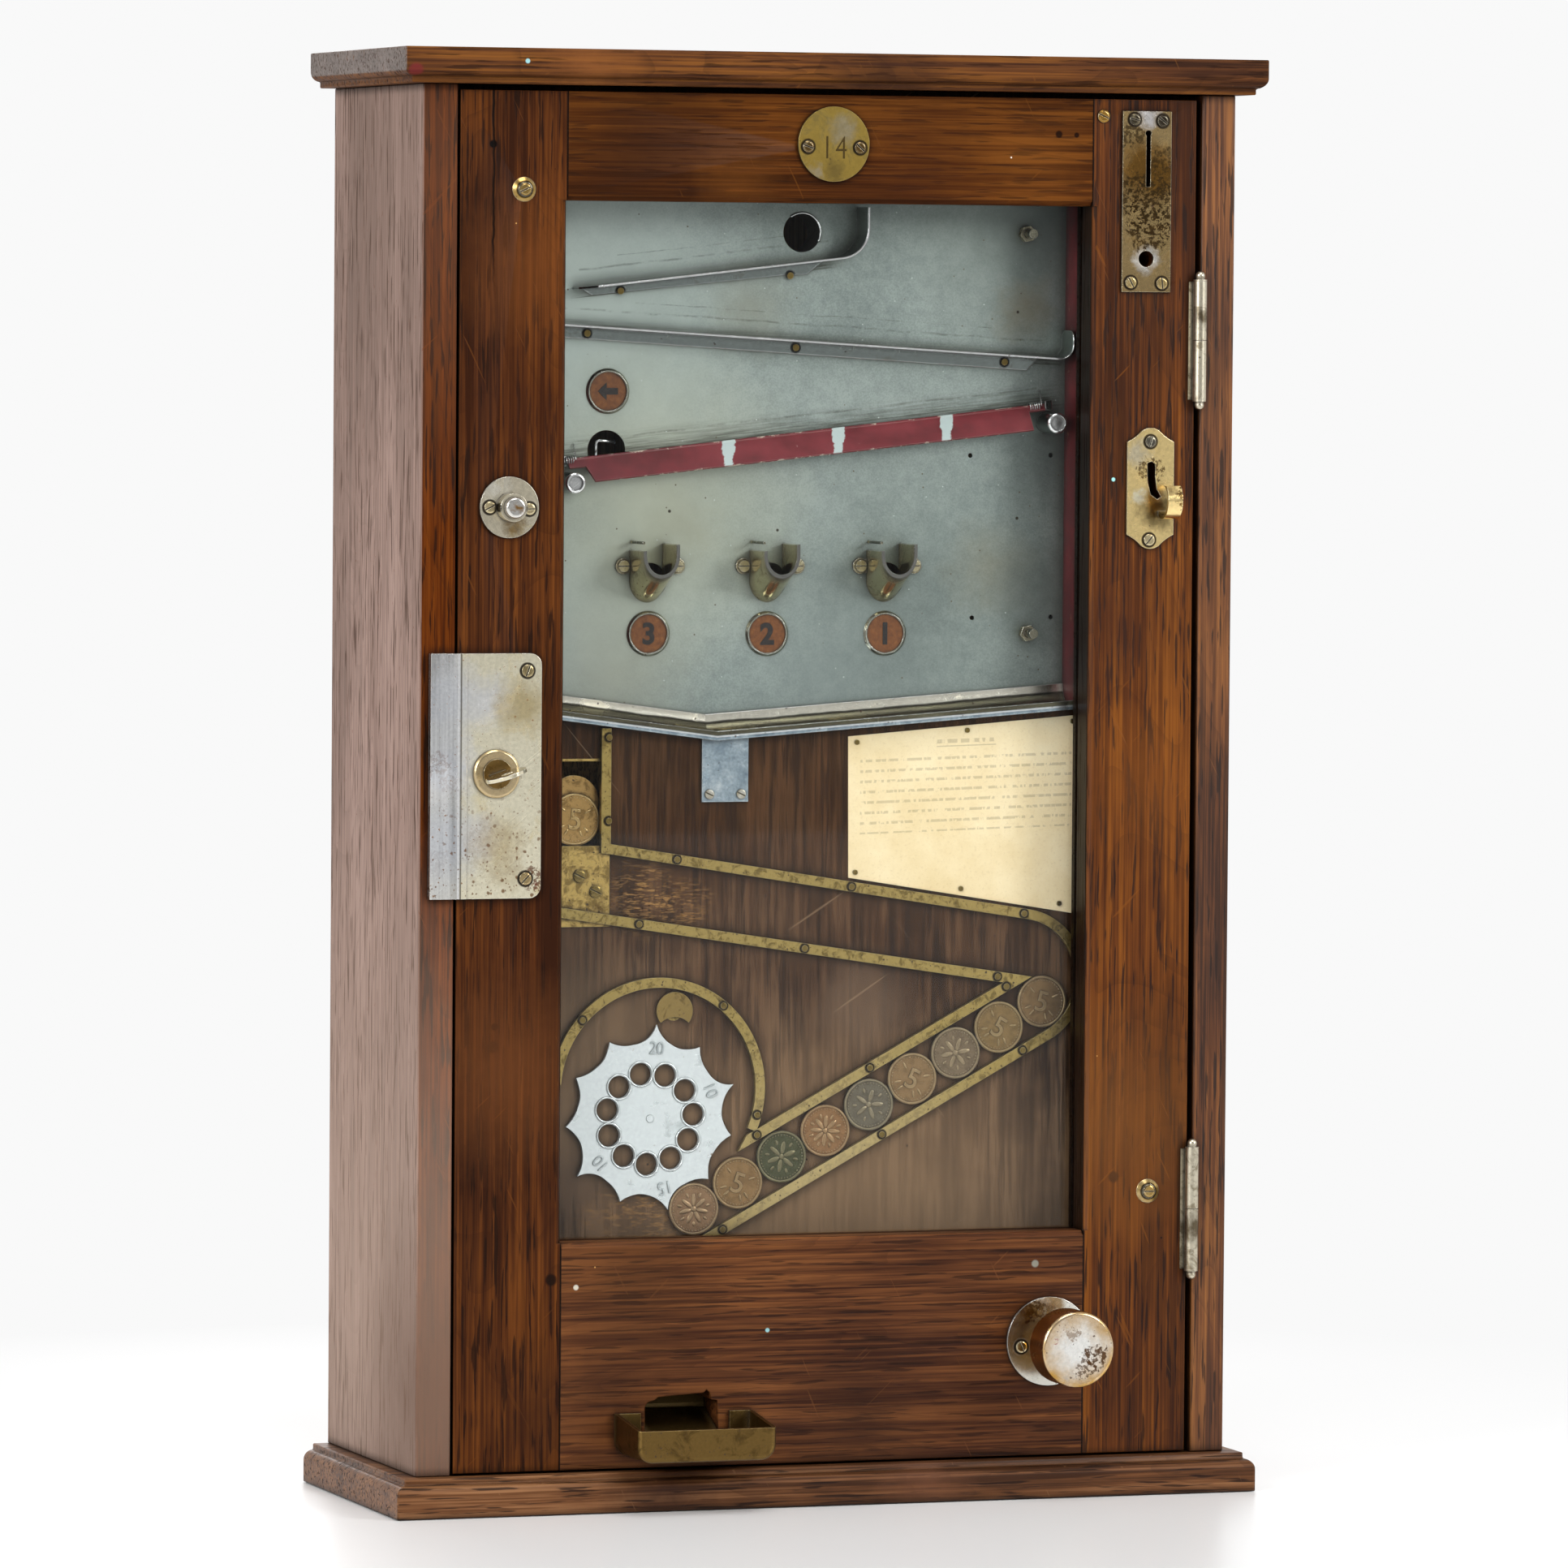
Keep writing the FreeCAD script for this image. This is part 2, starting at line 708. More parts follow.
def make_coin_chute():
    wall = steel_sheet
    half = chute_room / 2
    top = coin_slot_high + 2
    low = coin_slot_low - chute_drop
    drop = box(coin_slot_x - half - wall, coin_slot_x + half + wall, plate_front, magazine_back + wall,
               low, top + wall)
    drop_room = box(coin_slot_x - half, coin_slot_x + half, plate_front - 1, magazine_back,
                    low + wall, top)
    x1, z1 = magazine_right - 2, magazine_top - 1
    x0, z0 = coin_slot_x - 2, coin_slot_low - chute_bend_drop
    slope = bar(x1, z1, x0, z0, chute_high + 2 * wall, chute_y - wall, magazine_back)
    slope_room = bar(x1 - 20, z1 - 20 * (z0 - z1) / (x0 - x1), x0 - 0.5, z0, chute_high,
                     chute_y, magazine_back - wall)
    past = box(magazine_left - 30, magazine_right + wall, 60, 130, 300, 420)
    sheet = fuse([drop, slope]).cut(drop_room).cut(slope_room).cut(past)
    save("coin_chute", max(sheet.Solids, key=lambda s: s.Volume))


# ---------------------------------------------------------------- board, reveals and plate


def make_boards(pin_holes, screw_holes):
    outer_left = opening_left - reveal_thick
    outer_right = opening_right + reveal_thick
    under = gutter_drop + 0.4
    cut_out = slab([(outer_left, crease_z(outer_left) - under),
                    (gutter_vertex_x, gutter_vertex_z - under),
                    (outer_right, crease_z(outer_right) - under),
                    (outer_right, opening_top), (outer_left, opening_top)],
                   board_front - 1, board_back + 1)
    board = box(-inner, inner, board_front, board_back, side_bottom, side_top).cut(cut_out)
    tools = [
        box(magazine_left - steel_sheet, magazine_right + steel_sheet, board_front - 1, board_back + 1,
            magazine_floor - steel_sheet, magazine_top + steel_sheet),
        box(latch_slot[0], latch_slot[1], board_front - 1, board_back + 1, latch_slot[2], latch_slot[3]),
        box(coin_slot_x - 3, coin_slot_x + 3, board_front - 1, board_back + 1,
            coin_slot_low - 4, coin_slot_high + 2),
        rod(wheel_x, wheel_z, board_front - 1, board_back + 1, wheel_bush_radius),
        rod(cam_x, cam_z, board_front - 1, board_back + 1, cam_bush_radius),
        rod(knob_x, knob_z, board_front - 1, board_back + 1, drive_bush_radius),
    ]
    save("mechanism_board", cut_all(board, tools + pin_holes + screw_holes))
    reveals = []
    for x0, x1 in ((outer_left, opening_left), (opening_right, outer_right)):
        reveals.append(slab([(x0, crease_z(x0) - under), (x1, crease_z(x1) - under),
                             (x1, opening_top), (x0, opening_top)],
                            board_front - reveal_proud, board_back))
    save("reveal_boards", *reveals)


def make_plate(holes):
    x0 = opening_left - reveal_thick - plate_lap
    x1 = min(opening_right + reveal_thick + plate_lap, coin_slot_x - 6)
    plate = box(x0, x1, plate_front, plate_back, plate_low, opening_top + 14)
    tools = [rod(outlet_x, outlet_z, plate_front - 1, plate_back + 1, hole_radius),
             rod(return_hole[0], return_hole[1], plate_front - 1, plate_back + 1, hole_radius)]
    for x in cup_centres:
        tools.append(rod(x, cup_hole_z, plate_front - 1, plate_back + 1, cup_hole_radius))
    for x, z in spare_holes:
        tools.append(rod(x, z, plate_front - 1, plate_back + 1, cup_screw_radius))
    for x, z in stud_spots:
        tools.append(rod(x, z, plate_front - 1, plate_back + 1, stud_radius))
    save("playfield_plate", cut_all(plate, tools + holes))


# ---------------------------------------------------------------- rails, posts, cups and discs


def make_upper_rail(pins):
    ex, ez = upper_rail_end
    lx = upper_rail_left
    lz = ez + (lx - ex) * upper_rail_slope
    tilt = math.degrees(math.atan(upper_rail_slope))
    turn = math.radians(tilt)
    r = upper_rail_corner
    cx, cz = ex - math.sin(turn) * r, ez + math.cos(turn) * r
    half = rail_sheet / 2
    ledge = fuse([
        bar(lx, lz, ex, ez, rail_sheet, rail_front, plate_front),
        bend(cx, cz, r, rail_sheet, -90 + tilt, 0, rail_front, plate_front),
        box(cx + r - half, cx + r + half, rail_front, plate_front, cz, upper_rail_top),
    ])
    # The left end is cut to a point that starts at the plate.
    corner = Part.Face(Part.makePolygon([
        Vector(lx - 1, rail_front - 1, lz - 8), Vector(lx + 9, rail_front - 1, lz - 8),
        Vector(lx - 1, rail_front + 9, lz - 8), Vector(lx - 1, rail_front - 1, lz - 8)]))
    ledge = ledge.cut(corner.extrude(Vector(0, 0, 16)))
    flange = slab([(lx + 3, lz + 0.4), (lx + 10, lz - 3.4), (ex - 26, ez - 8.8), (ex - 14, ez - 8.4),
                   (ex - 4, ez - 0.4)], plate_front - rail_sheet, plate_front)
    rail = fuse([ledge, flange])
    face = plate_front - rail_sheet
    depth = rail_sheet + steel_sheet + 0.6
    spots = [(-98.5, 608.2), (-8.7, 616.6)]
    for x, z in spots:
        pins.append((x, z, face, rail_pin_radius, depth))
    rail = cut_all(rail, [rivet_hole(x, z, face, rail_pin_radius, depth) for x, z in spots])
    return rail, spots, face, depth


def make_middle_rail(pins):
    ex, ez = middle_rail_right
    lx = opening_left + seat
    lz = ez + (lx - ex) * middle_rail_slope
    tilt = math.degrees(math.atan(middle_rail_slope))
    turn = math.radians(tilt)
    r = middle_rail_corner
    cx, cz = ex - math.sin(turn) * r, ez + math.cos(turn) * r
    half = rail_sheet / 2
    stop = box(cx + r - half, cx + r + half, rail_front, plate_front, cz, middle_rail_top)
    top_edges = [e for e in stop.Edges if abs(e.CenterOfMass.z - middle_rail_top) < 0.01
                 and abs(e.BoundBox.YLength) < 0.01]
    stop = stop.makeFillet(5.0, top_edges)
    ledge = fuse([bar(lx, lz, ex, ez, rail_sheet, rail_front, plate_front),
                  bend(cx, cz, r, rail_sheet, -90 + tilt, 0, rail_front, plate_front), stop])
    flange = slab([(lx, lz), (ex - 6, ez), (ex - 12, ez - middle_rail_flange),
                   (lx, lz - middle_rail_flange)],
                  plate_front - rail_sheet, plate_front)
    face = plate_front - rail_sheet
    depth = rail_sheet + steel_sheet + 0.6
    spots = []
    for x in (-115.9, -5.4, 106.8):
        spots.append((x, ez + (x - ex) * middle_rail_slope - 3.2))
    for x, z in spots:
        pins.append((x, z, face, rail_pin_radius, depth))
    rail = cut_all(fuse([ledge, flange]), [rivet_hole(x, z, face, rail_pin_radius, depth) for x, z in spots])
    return rail, spots, face, depth


def place_red(shape):
    shape.rotate(Vector(0, 0, 0), Vector(0, 1, 0), -red_tilt)
    shape.translate(Vector(red_left_x, red_axis_y, red_left_z))
    return shape


def make_red_rail():
    # Sheet flap with a rod along its upper edge, hanging forward and down.
    def p(along, width):
        return Vector(along, -width, 0)
    outline = [p(0, 0), p(red_length, 0), p(red_length, 3.5), p(red_length - 9, 3.5),
               p(red_length - 10.5, red_width), p(10.5, red_width), p(8.5, 5.5), p(0, 5.5)]
    flap = Part.Face(Part.makePolygon(outline + outline[:1])).extrude(Vector(0, 0, rail_sheet))
    flap.rotate(Vector(0, 0, 0), Vector(1, 0, 0), red_drop)
    hinge_rod = Part.makeCylinder(red_rod_radius, red_length + 6, Vector(-3, 0, 0), Vector(1, 0, 0))
    save("drop_rail", place_red(fuse([flap, hinge_rod])))
    lugs = []
    for start in (-4.0, red_length + seat):
        lug = Part.makeBox(4.0 - seat, 2.4 + 2 * red_rod_radius - 0.8, 5.0, Vector(start, -2.2, -2.5))
        bore = Part.makeCylinder(red_rod_radius + running, 8, Vector(start - 2, 0, 0), Vector(1, 0, 0))
        lugs.append(place_red(lug.cut(bore)))
    lugs = [lug.common(box(-inner, inner, 0, plate_front, 0, case_height)) for lug in lugs]
    posts = []
    for x, z in post_spots:
        barrel = rod(x, z, rail_front, plate_front, post_radius)
        edges = [e for e in barrel.Edges if abs(e.CenterOfMass.y - rail_front) < 0.01 and len(e.Vertexes) == 1]
        barrel = barrel.makeFillet(1.2, edges)
        hollow = rod(x, z, rail_front - 1, rail_front + 1.0, post_radius - 1.6)
        posts.append(barrel.cut(hollow))
    save("rail_posts", *(posts + lugs))


def make_cups(studs):
    cups = []
    r = cup_width / 2
    mid = cup_bottom_z + cup_bowl_drop
    for middle in cup_centres:
        x = middle - cup_shift

        def u_face(radius, y):
            drop = radius * cup_bowl_drop / r
            oval = Part.Ellipse(Vector(x, y, mid - drop), Vector(x + radius, y, mid), Vector(x, y, mid))
            arc = Part.ArcOfEllipse(oval, -math.pi / 2, math.pi / 2).toShape()
            lines = [Part.makeLine(Vector(x - radius, y, mid), Vector(x - radius, y, opening_top)),
                     Part.makeLine(Vector(x - radius, y, opening_top), Vector(x + radius, y, opening_top)),
                     Part.makeLine(Vector(x + radius, y, opening_top), Vector(x + radius, y, mid))]
            return Part.Face(Part.Wire([arc] + lines))
        way = Vector(0, -cup_reach, cup_rise)
        outer = u_face(r, plate_front).extrude(way)
        room = u_face(r - cup_sheet, plate_front).extrude(way)
        wider = room.copy()
        wider.translate(Vector(0, -2, 2 * cup_rise / cup_reach))
        room.translate(Vector(0, 1, -cup_rise / cup_reach))
        trough = outer.cut(room).cut(wider)
        sky = opening_top + 2 * cup_rise
        lid = slab([(x - r - 1, cup_top_z - 2), (x + r + 1, cup_top_z + 2), (x + r + 1, sky),
                    (x - r - 1, sky)], 0, plate_front + 1)
        trough = trough.cut(lid)
        parts = [trough]
        holes = []
        for side in (-1, 1):
            ear_x = middle + side * cup_ear_x
            ear = rod(ear_x, cup_ear_z, plate_front - steel_sheet, plate_front, cup_ear_radius)
            arm = box(min(ear_x, x + side * (r - 0.6)), max(ear_x, x + side * (r - 0.6)),
                      plate_front - steel_sheet, plate_front, cup_ear_z - 3.6, cup_ear_z + 3.4)
            parts.extend([ear, arm])
            holes.append(rod(ear_x, cup_ear_z, plate_front - 4, plate_front + 1, cup_screw_radius))
            studs.append((ear_x, cup_ear_z))
        cups.append(cut_all(fuse(parts), holes))
    save("scoring_cups", *cups)


def make_discs():
    rims = []
    discs = []
    for x, z in disc_spots:
        cone = Part.makeCone(disc_radius + 1.8, disc_radius + 0.6, 1.3, Vector(x, plate_front, z),
                             Vector(0, -1, 0))
        rims.append(cone.cut(rod(x, z, plate_front - 5, plate_front + 1, disc_radius)))
        discs.append(rod(x, z, plate_front - 0.6, plate_front, disc_radius))
    save("disc_rims", *rims)
    save("number_discs", *discs)


def hexagon(x, z, y0, y1, radius):
    points = []
    for k in range(6):
        turn = math.radians(60 * k + 12)
        points.append((x + radius * math.cos(turn), z + radius * math.sin(turn)))
    return slab(points, y0, y1)


def make_studs(cup_screws):
    pieces = []
    for x, z in stud_spots:
        stud = rod(x, z, plate_front - 11, bracket_y + bracket_thick + 4, stud_radius)
        nut = hexagon(x, z, plate_front - 3.2, plate_front, 4.3)
        spacer = ring(x, z, plate_back, bracket_y, 4.0, stud_radius)
        pieces.append(fuse([stud, nut, spacer]))
    for x, z in cup_screws:
        head = rod(x, z, plate_front - steel_sheet - 1.4, plate_front - steel_sheet, 2.9)
        groove = box(x - 3, x + 3, plate_front - 4, plate_front - steel_sheet - 0.8, z - 0.3, z + 0.3)
        shank = rod(x, z, plate_front - steel_sheet, plate_back + 0.6, cup_screw_radius)
        pieces.append(fuse([head, shank]).cut(groove))
    for x in cup_centres:
        pieces.append(rod(x - cup_wire_x, cup_wire_z, plate_front - 20, plate_back, cup_wire_radius))
    save("stud_bolts", *pieces)
    holes = [rod(x, z, plate_front - 1, plate_back + 1, cup_screw_radius) for x, z in cup_screws]
    holes += [rod(x - cup_wire_x, cup_wire_z, plate_front - 1, plate_back + 1, cup_wire_radius)
              for x in cup_centres]
    return holes


# ---------------------------------------------------------------- ball guides, lift and drive


def make_ball_guides():
    wall = steel_sheet
    tube = ring(outlet_x, outlet_z, plate_back, trough_back, hole_radius + wall, hole_radius)
    gap_left = outlet_x - trough_gap
    gap_right = outlet_x + trough_gap
    floor = slab([(trough_left, trough_z + trough_rise), (gap_left, trough_z), (gap_right, trough_z),
                  (trough_right, trough_z + trough_rise * trough_right_share),
                  (trough_right, trough_z + trough_rise * trough_right_share - wall),
                  (gap_right, trough_z - wall),
                  (gap_left, trough_z - wall), (trough_left, trough_z + trough_rise - wall)],
                 plate_back, trough_back)
    walls = []
    for x0, z0, x1, z1 in ((trough_left, trough_z + trough_rise, gap_left, trough_z),
                           (gap_right, trough_z, trough_right, trough_z + trough_rise * trough_right_share)):
        walls.append(slab([(x0, z0 - wall), (x1, z1 - wall), (x1, z1 + trough_wall_high),
                           (x0, z0 + trough_wall_high)],
                          trough_back - wall, trough_back))
    save("ball_guides", tube, fuse([floor] + walls))


def make_lift():
    px, pz = lift_pivot_x, lift_pivot_z
    turn = math.radians(lift_angle)
    cx, cz = px - lift_length * math.cos(turn), pz - lift_length * math.sin(turn)
    tx, tz = px + lift_tail * math.cos(turn), pz + lift_tail * math.sin(turn)
    y0, y1 = arm_y, arm_y + arm_thick
    cup_in = ball_radius + seat
    cup_out = cup_in + steel_sheet
    cup_back = y1 + 2 * ball_radius + 2 * seat
    cup = ring(cx, cz, y1, cup_back, cup_out, cup_in)
    back_wall = rod(cx, cz, cup_back, cup_back + steel_sheet, cup_out)
    open_top = box(cx - 20, cx + 20, y1 + 0.01, cup_back + 5, cz + 1, cz + 20)
    cradle = turned(fuse([cup, back_wall]).cut(open_top), cx, cz, -lift_angle)
    arm = fuse([rod(px, pz, y0, y1, arm_width), rod(cx, cz, y0, y1, 5.0),
                bar(cx, cz, px, pz, arm_width, y0, y1),
                bar(px, pz, tx, tz, arm_width, y0, y1), rod(tx, tz, y0, y1, 4.5),
                rod(tx, tz, y1, rod_y + 5, crank_pin_radius), cradle])
    save("lift_arm", arm.cut(rod(px, pz, y0 - 1, y1 + 1, pivot_radius + running)))
    ball = Part.makeSphere(ball_radius, Vector(cx, y1 + seat + ball_radius, cz))
    save("ball", ball)
    # Pull rod with a slotted plate at each end.
    crank_turn = math.radians(knob_turn / 2)
    bx, bz = knob_x + crank_radius * math.cos(crank_turn), knob_z + crank_radius * math.sin(crank_turn)
    plates = []
    slots = []
    for x0, x1, z in ((tx, px + lift_tail, tz), (bx, knob_x + crank_radius, bz)):
        plates.append(box(x0 - 8, x1 + 8, rod_y, rod_y + 3, z - 11, z + 11))
        slots.append(box(x0 - 4, x1 + 4, rod_y - 1, rod_y + 4, z - 6, z + 6))
    bar_x = (tx + px + lift_tail) / 2 - 3
    link = box(bar_x - rod_width / 2, bar_x + rod_width / 2, rod_y, rod_y + 3, bz + 8, tz - 8)
    save("pull_rod", cut_all(fuse(plates + [link]), slots))
    guides = []
    for z in rod_guide_heights:
        block = box(bar_x - rod_width, bar_x + rod_width, board_back, rod_y + 7, z, z + 8)
        way = box(bar_x - rod_width / 2 - seat, bar_x + rod_width / 2 + seat,
                  rod_y - seat, rod_y + 3 + seat, z - 1, z + 9)
        guides.append(block.cut(way))
    strap = box(px - bracket_half, px + bracket_half, bracket_y, bracket_y + bracket_thick,
                bracket_low, bracket_high)
    holes = [rod(x, z, bracket_y - 1, bracket_y + 5, stud_radius) for x, z in stud_spots]
    pin = rod(px, pz, bracket_y, y1 + 4, pivot_radius)
    cap = rod(px, pz, y1 + 0.4, y1 + 1.6, pivot_radius + 2.5)
    collar = rod(px, pz, bracket_y + bracket_thick, y0 - 0.4, pivot_radius + 2.5)
    bracket = cut_all(fuse([strap, pin, cap, collar]), holes)
    save("mechanism_brackets", *([bracket] + guides + latch_pivot()))
    # Drive arbor with its crank and the slotted head that the knob's tongue turns.
    arbor = fuse([
        rod(knob_x, knob_z, board_front - 6, board_front - seat, arbor_head_radius),
        rod(knob_x, knob_z, board_front - seat, arm_y, arbor_radius),
        rod(knob_x, knob_z, arm_y, arm_y + arm_thick, 8.0),
        bar(knob_x, knob_z, bx, bz, 9.0, arm_y, arm_y + arm_thick),
        rod(bx, bz, arm_y, arm_y + arm_thick, 4.5),
        rod(bx, bz, arm_y + arm_thick, rod_y + 5, crank_pin_radius)])
    groove = box(knob_x - 12, knob_x + 12, board_front - 7, board_front - 2.5, knob_z - 2.7, knob_z + 2.7)
    save("drive_arbor", arbor.cut(groove))


def make_bushes():
    bushes = []
    for x, z, outer, shaft in ((knob_x, knob_z, drive_bush_radius, arbor_radius),
                               (wheel_x, wheel_z, wheel_bush_radius, wheel_arbor_radius),
                               (cam_x, cam_z, cam_bush_radius, cam_arbor_radius)):
        bushes.append(ring(x, z, board_front, board_back + 1.5, outer, shaft + running))
    save("bearing_bushes", *bushes)


# ---------------------------------------------------------------- payout wheel, cam and coins


def make_wheel():
    y0 = board_front - 0.6 - wheel_thick
    y1 = y0 + wheel_thick

    def at(radius, angle):
        turn = math.radians(angle)
        return Vector(wheel_x + radius * math.cos(turn), y0, wheel_z + radius * math.sin(turn))
    edges = []
    for k in range(wheel_teeth):
        after = (k + 1) % wheel_teeth
        r0 = wheel_long_radius if k in wheel_long_tips else wheel_short_radius
        r1 = wheel_long_radius if after in wheel_long_tips else wheel_short_radius
        a0 = wheel_first_tip - k * wheel_step
        notch = at(wheel_notch_radius, a0 - wheel_step / 2)
        edges.append(Part.Arc(at(r0, a0), notch, at(r1, a0 - wheel_step)).toShape())
    star = Part.Face(Part.Wire(edges)).extrude(Vector(0, wheel_thick, 0))
    for k in range(wheel_teeth):
        spot = at(wheel_hole_circle, wheel_first_tip - (k + 0.5) * wheel_step)
        star = star.cut(rod(spot.x, spot.z, y0 - 1, y1 + 1, wheel_hole_radius))
        # Each notch clears the coin that rests in it.
        spot = at(coin_from_wheel, coin_bearing - k * wheel_step)
        star = star.cut(rod(spot.x, spot.z, y0 - 1, y1 + 1, coin_radius + free))
    arbor = rod(wheel_x, wheel_z, y0, board_back + 8, wheel_arbor_radius)
    rivet_end = rod(wheel_x, wheel_z, y0 - 0.5, y0, 1.8)
    drum = rod(wheel_x, wheel_z, board_back + 2, board_back + 6, wheel_drum_radius)
    save("payout_wheel", fuse([star, arbor, rivet_end, drum]))
    # Half-moon stop cam above the wheel.
    moon = rod(cam_x, cam_z, y0, y1, cam_radius)
    moon = moon.cut(rod(cam_x, cam_z - cam_hollow_drop, y0 - 1, y1 + 1, cam_hollow_radius))
    moon = moon.cut(rod(wheel_x, wheel_z, y0 - 1, y1 + 1, wheel_long_radius + free))
    spindle = rod(cam_x, cam_z, y0, board_back + 6, cam_arbor_radius)
    collar = rod(cam_x, cam_z, board_back + 2, board_back + 5, cam_arbor_radius + 3)
    save("stop_cam", fuse([moon, spindle, collar]))
    coins = []
    for k in range(coin_count):
        x, z = beside_row(0, k * coin_pitch)
        back = board_front - 0.2
        coin = rod(x, z, back - coin_thick, back, coin_radius)
        field = rod(x, z, back - coin_thick - 1, back - coin_thick + 0.15, coin_radius - 1.1)
        coins.append(coin.cut(field))
    save("coin_queue", *coins)


# ---------------------------------------------------------------- payout chute and cash box


def make_payout():
    y0 = door_thick + 1.0
    y1 = board_front
    x0, x1 = mouth_left - chute_margins[0], mouth_right + chute_margins[1]
    sides = [box(x0, x0 + steel_sheet, y0, y1, payout_side_low, payout_side_high),
             box(x1 - steel_sheet, x1, y0, y1, payout_side_low, payout_side_high)]
    low = mouth_low + slide_rise

    def p(y, z):
        return Vector(x0, y, z)
    slide = [p(y1, low + deflector_rise + 2), p(y1, low + deflector_rise), p(y0, low), p(y0, low + 2)]
    deflector = Part.Face(Part.makePolygon(slide + slide[:1])).extrude(Vector(x1 - x0, 0, 0))
    save("payout_chute", fuse(sides + [deflector]))
    back = back_face - cash_back_gap
    outer = box(cash_left, cash_right, cash_front, back, side_bottom, cash_high)
    room = box(cash_left + steel_sheet, cash_right - steel_sheet, cash_front + steel_sheet,
               back - steel_sheet, side_bottom + steel_sheet, cash_high + 1)
    save("cash_box", outer.cut(room))


# ---------------------------------------------------------------- hinges
def knuckle(z0, z1):
    body = Part.makeCylinder(hinge_radius, z1 - z0, Vector(hinge_axis_x, -hinge_radius, z0), Vector(0, 0, 1))
    return body


def make_hinges():
    case_leaves = []
    door_leaves = []
    pins = []
    axis_y = -hinge_radius
    leaf = hinge_leaf
    for z0, split, z1 in (upper_hinge, lower_hinge):
        bore = Part.makeCylinder(hinge_pin_radius, z1 - z0 + 2, Vector(hinge_axis_x, axis_y, z0 - 1),
                                 Vector(0, 0, 1))
        loose = Part.makeCylinder(hinge_pin_radius + running, z1 - z0 + 2,
                                  Vector(hinge_axis_x, axis_y, z0 - 1), Vector(0, 0, 1))
        cut = 0.15
        plate = box(inner - leaf, inner, 0.9, 20, z0, z1)
        web = box(hinge_axis_x + 0.4, inner, -1.6, 1.0, z0, split - cut)
        case_leaves.append(fuse([knuckle(z0, split - cut), web, plate]).cut(bore))
        plate = box(door_right, door_right + leaf, 0.9, 20, z0, z1)
        lap = box(door_right - hinge_lap, door_right + leaf, leaf - 0.8, leaf, z0, z1)
        web = box(door_right, hinge_axis_x - 0.3, -1.6, 1.0, split + cut, z1)
        door_leaves.append(fuse([knuckle(split + cut, z1), web, lap, plate]).cut(loose))
        pin = Part.makeCylinder(hinge_pin_radius, z1 - z0 + 1, Vector(hinge_axis_x, axis_y, z0 - 0.5),
                                Vector(0, 0, 1))
        caps = []
        for z, way in ((z0, -1), (z1 + 0.1, 1)):
            up = Vector(0, 0, way)
            base = Vector(hinge_axis_x, axis_y, z)
            ball = hinge_radius * 0.7
            caps.append(Part.makeCylinder(hinge_radius, 0.8, base, up))
            caps.append(Part.makeCylinder(hinge_radius - 1.2, 0.8, base + up * 0.8, up))
            caps.append(Part.makeSphere(ball, base + up * (hinge_finial - ball)))
        pins.append(fuse([pin] + caps))
    save("hinge_leaves_case", *case_leaves)
    save("hinge_leaves_door", *door_leaves)
    save("hinge_pins", *pins)


# ---------------------------------------------------------------- door


def chamfer_wedge(x0, x1, z0, z1):
    # Wedge removed along one inner edge of the window, given as the edge's two ends.
    c = window_chamfer
    if abs(x1 - x0) < 0.01:
        face = Part.Face(Part.makePolygon([Vector(x0 - c, -0.01, z0), Vector(x0 + c, -0.01, z0),
                                           Vector(x0, c, z0), Vector(x0 - c, -0.01, z0)]))
        return face.extrude(Vector(0, 0, z1 - z0))
    face = Part.Face(Part.makePolygon([Vector(x0, -0.01, z0 - c), Vector(x0, -0.01, z0 + c),
                                       Vector(x0, c, z0), Vector(x0, -0.01, z0 - c)]))
    return face.extrude(Vector(x1 - x0, 0, 0))


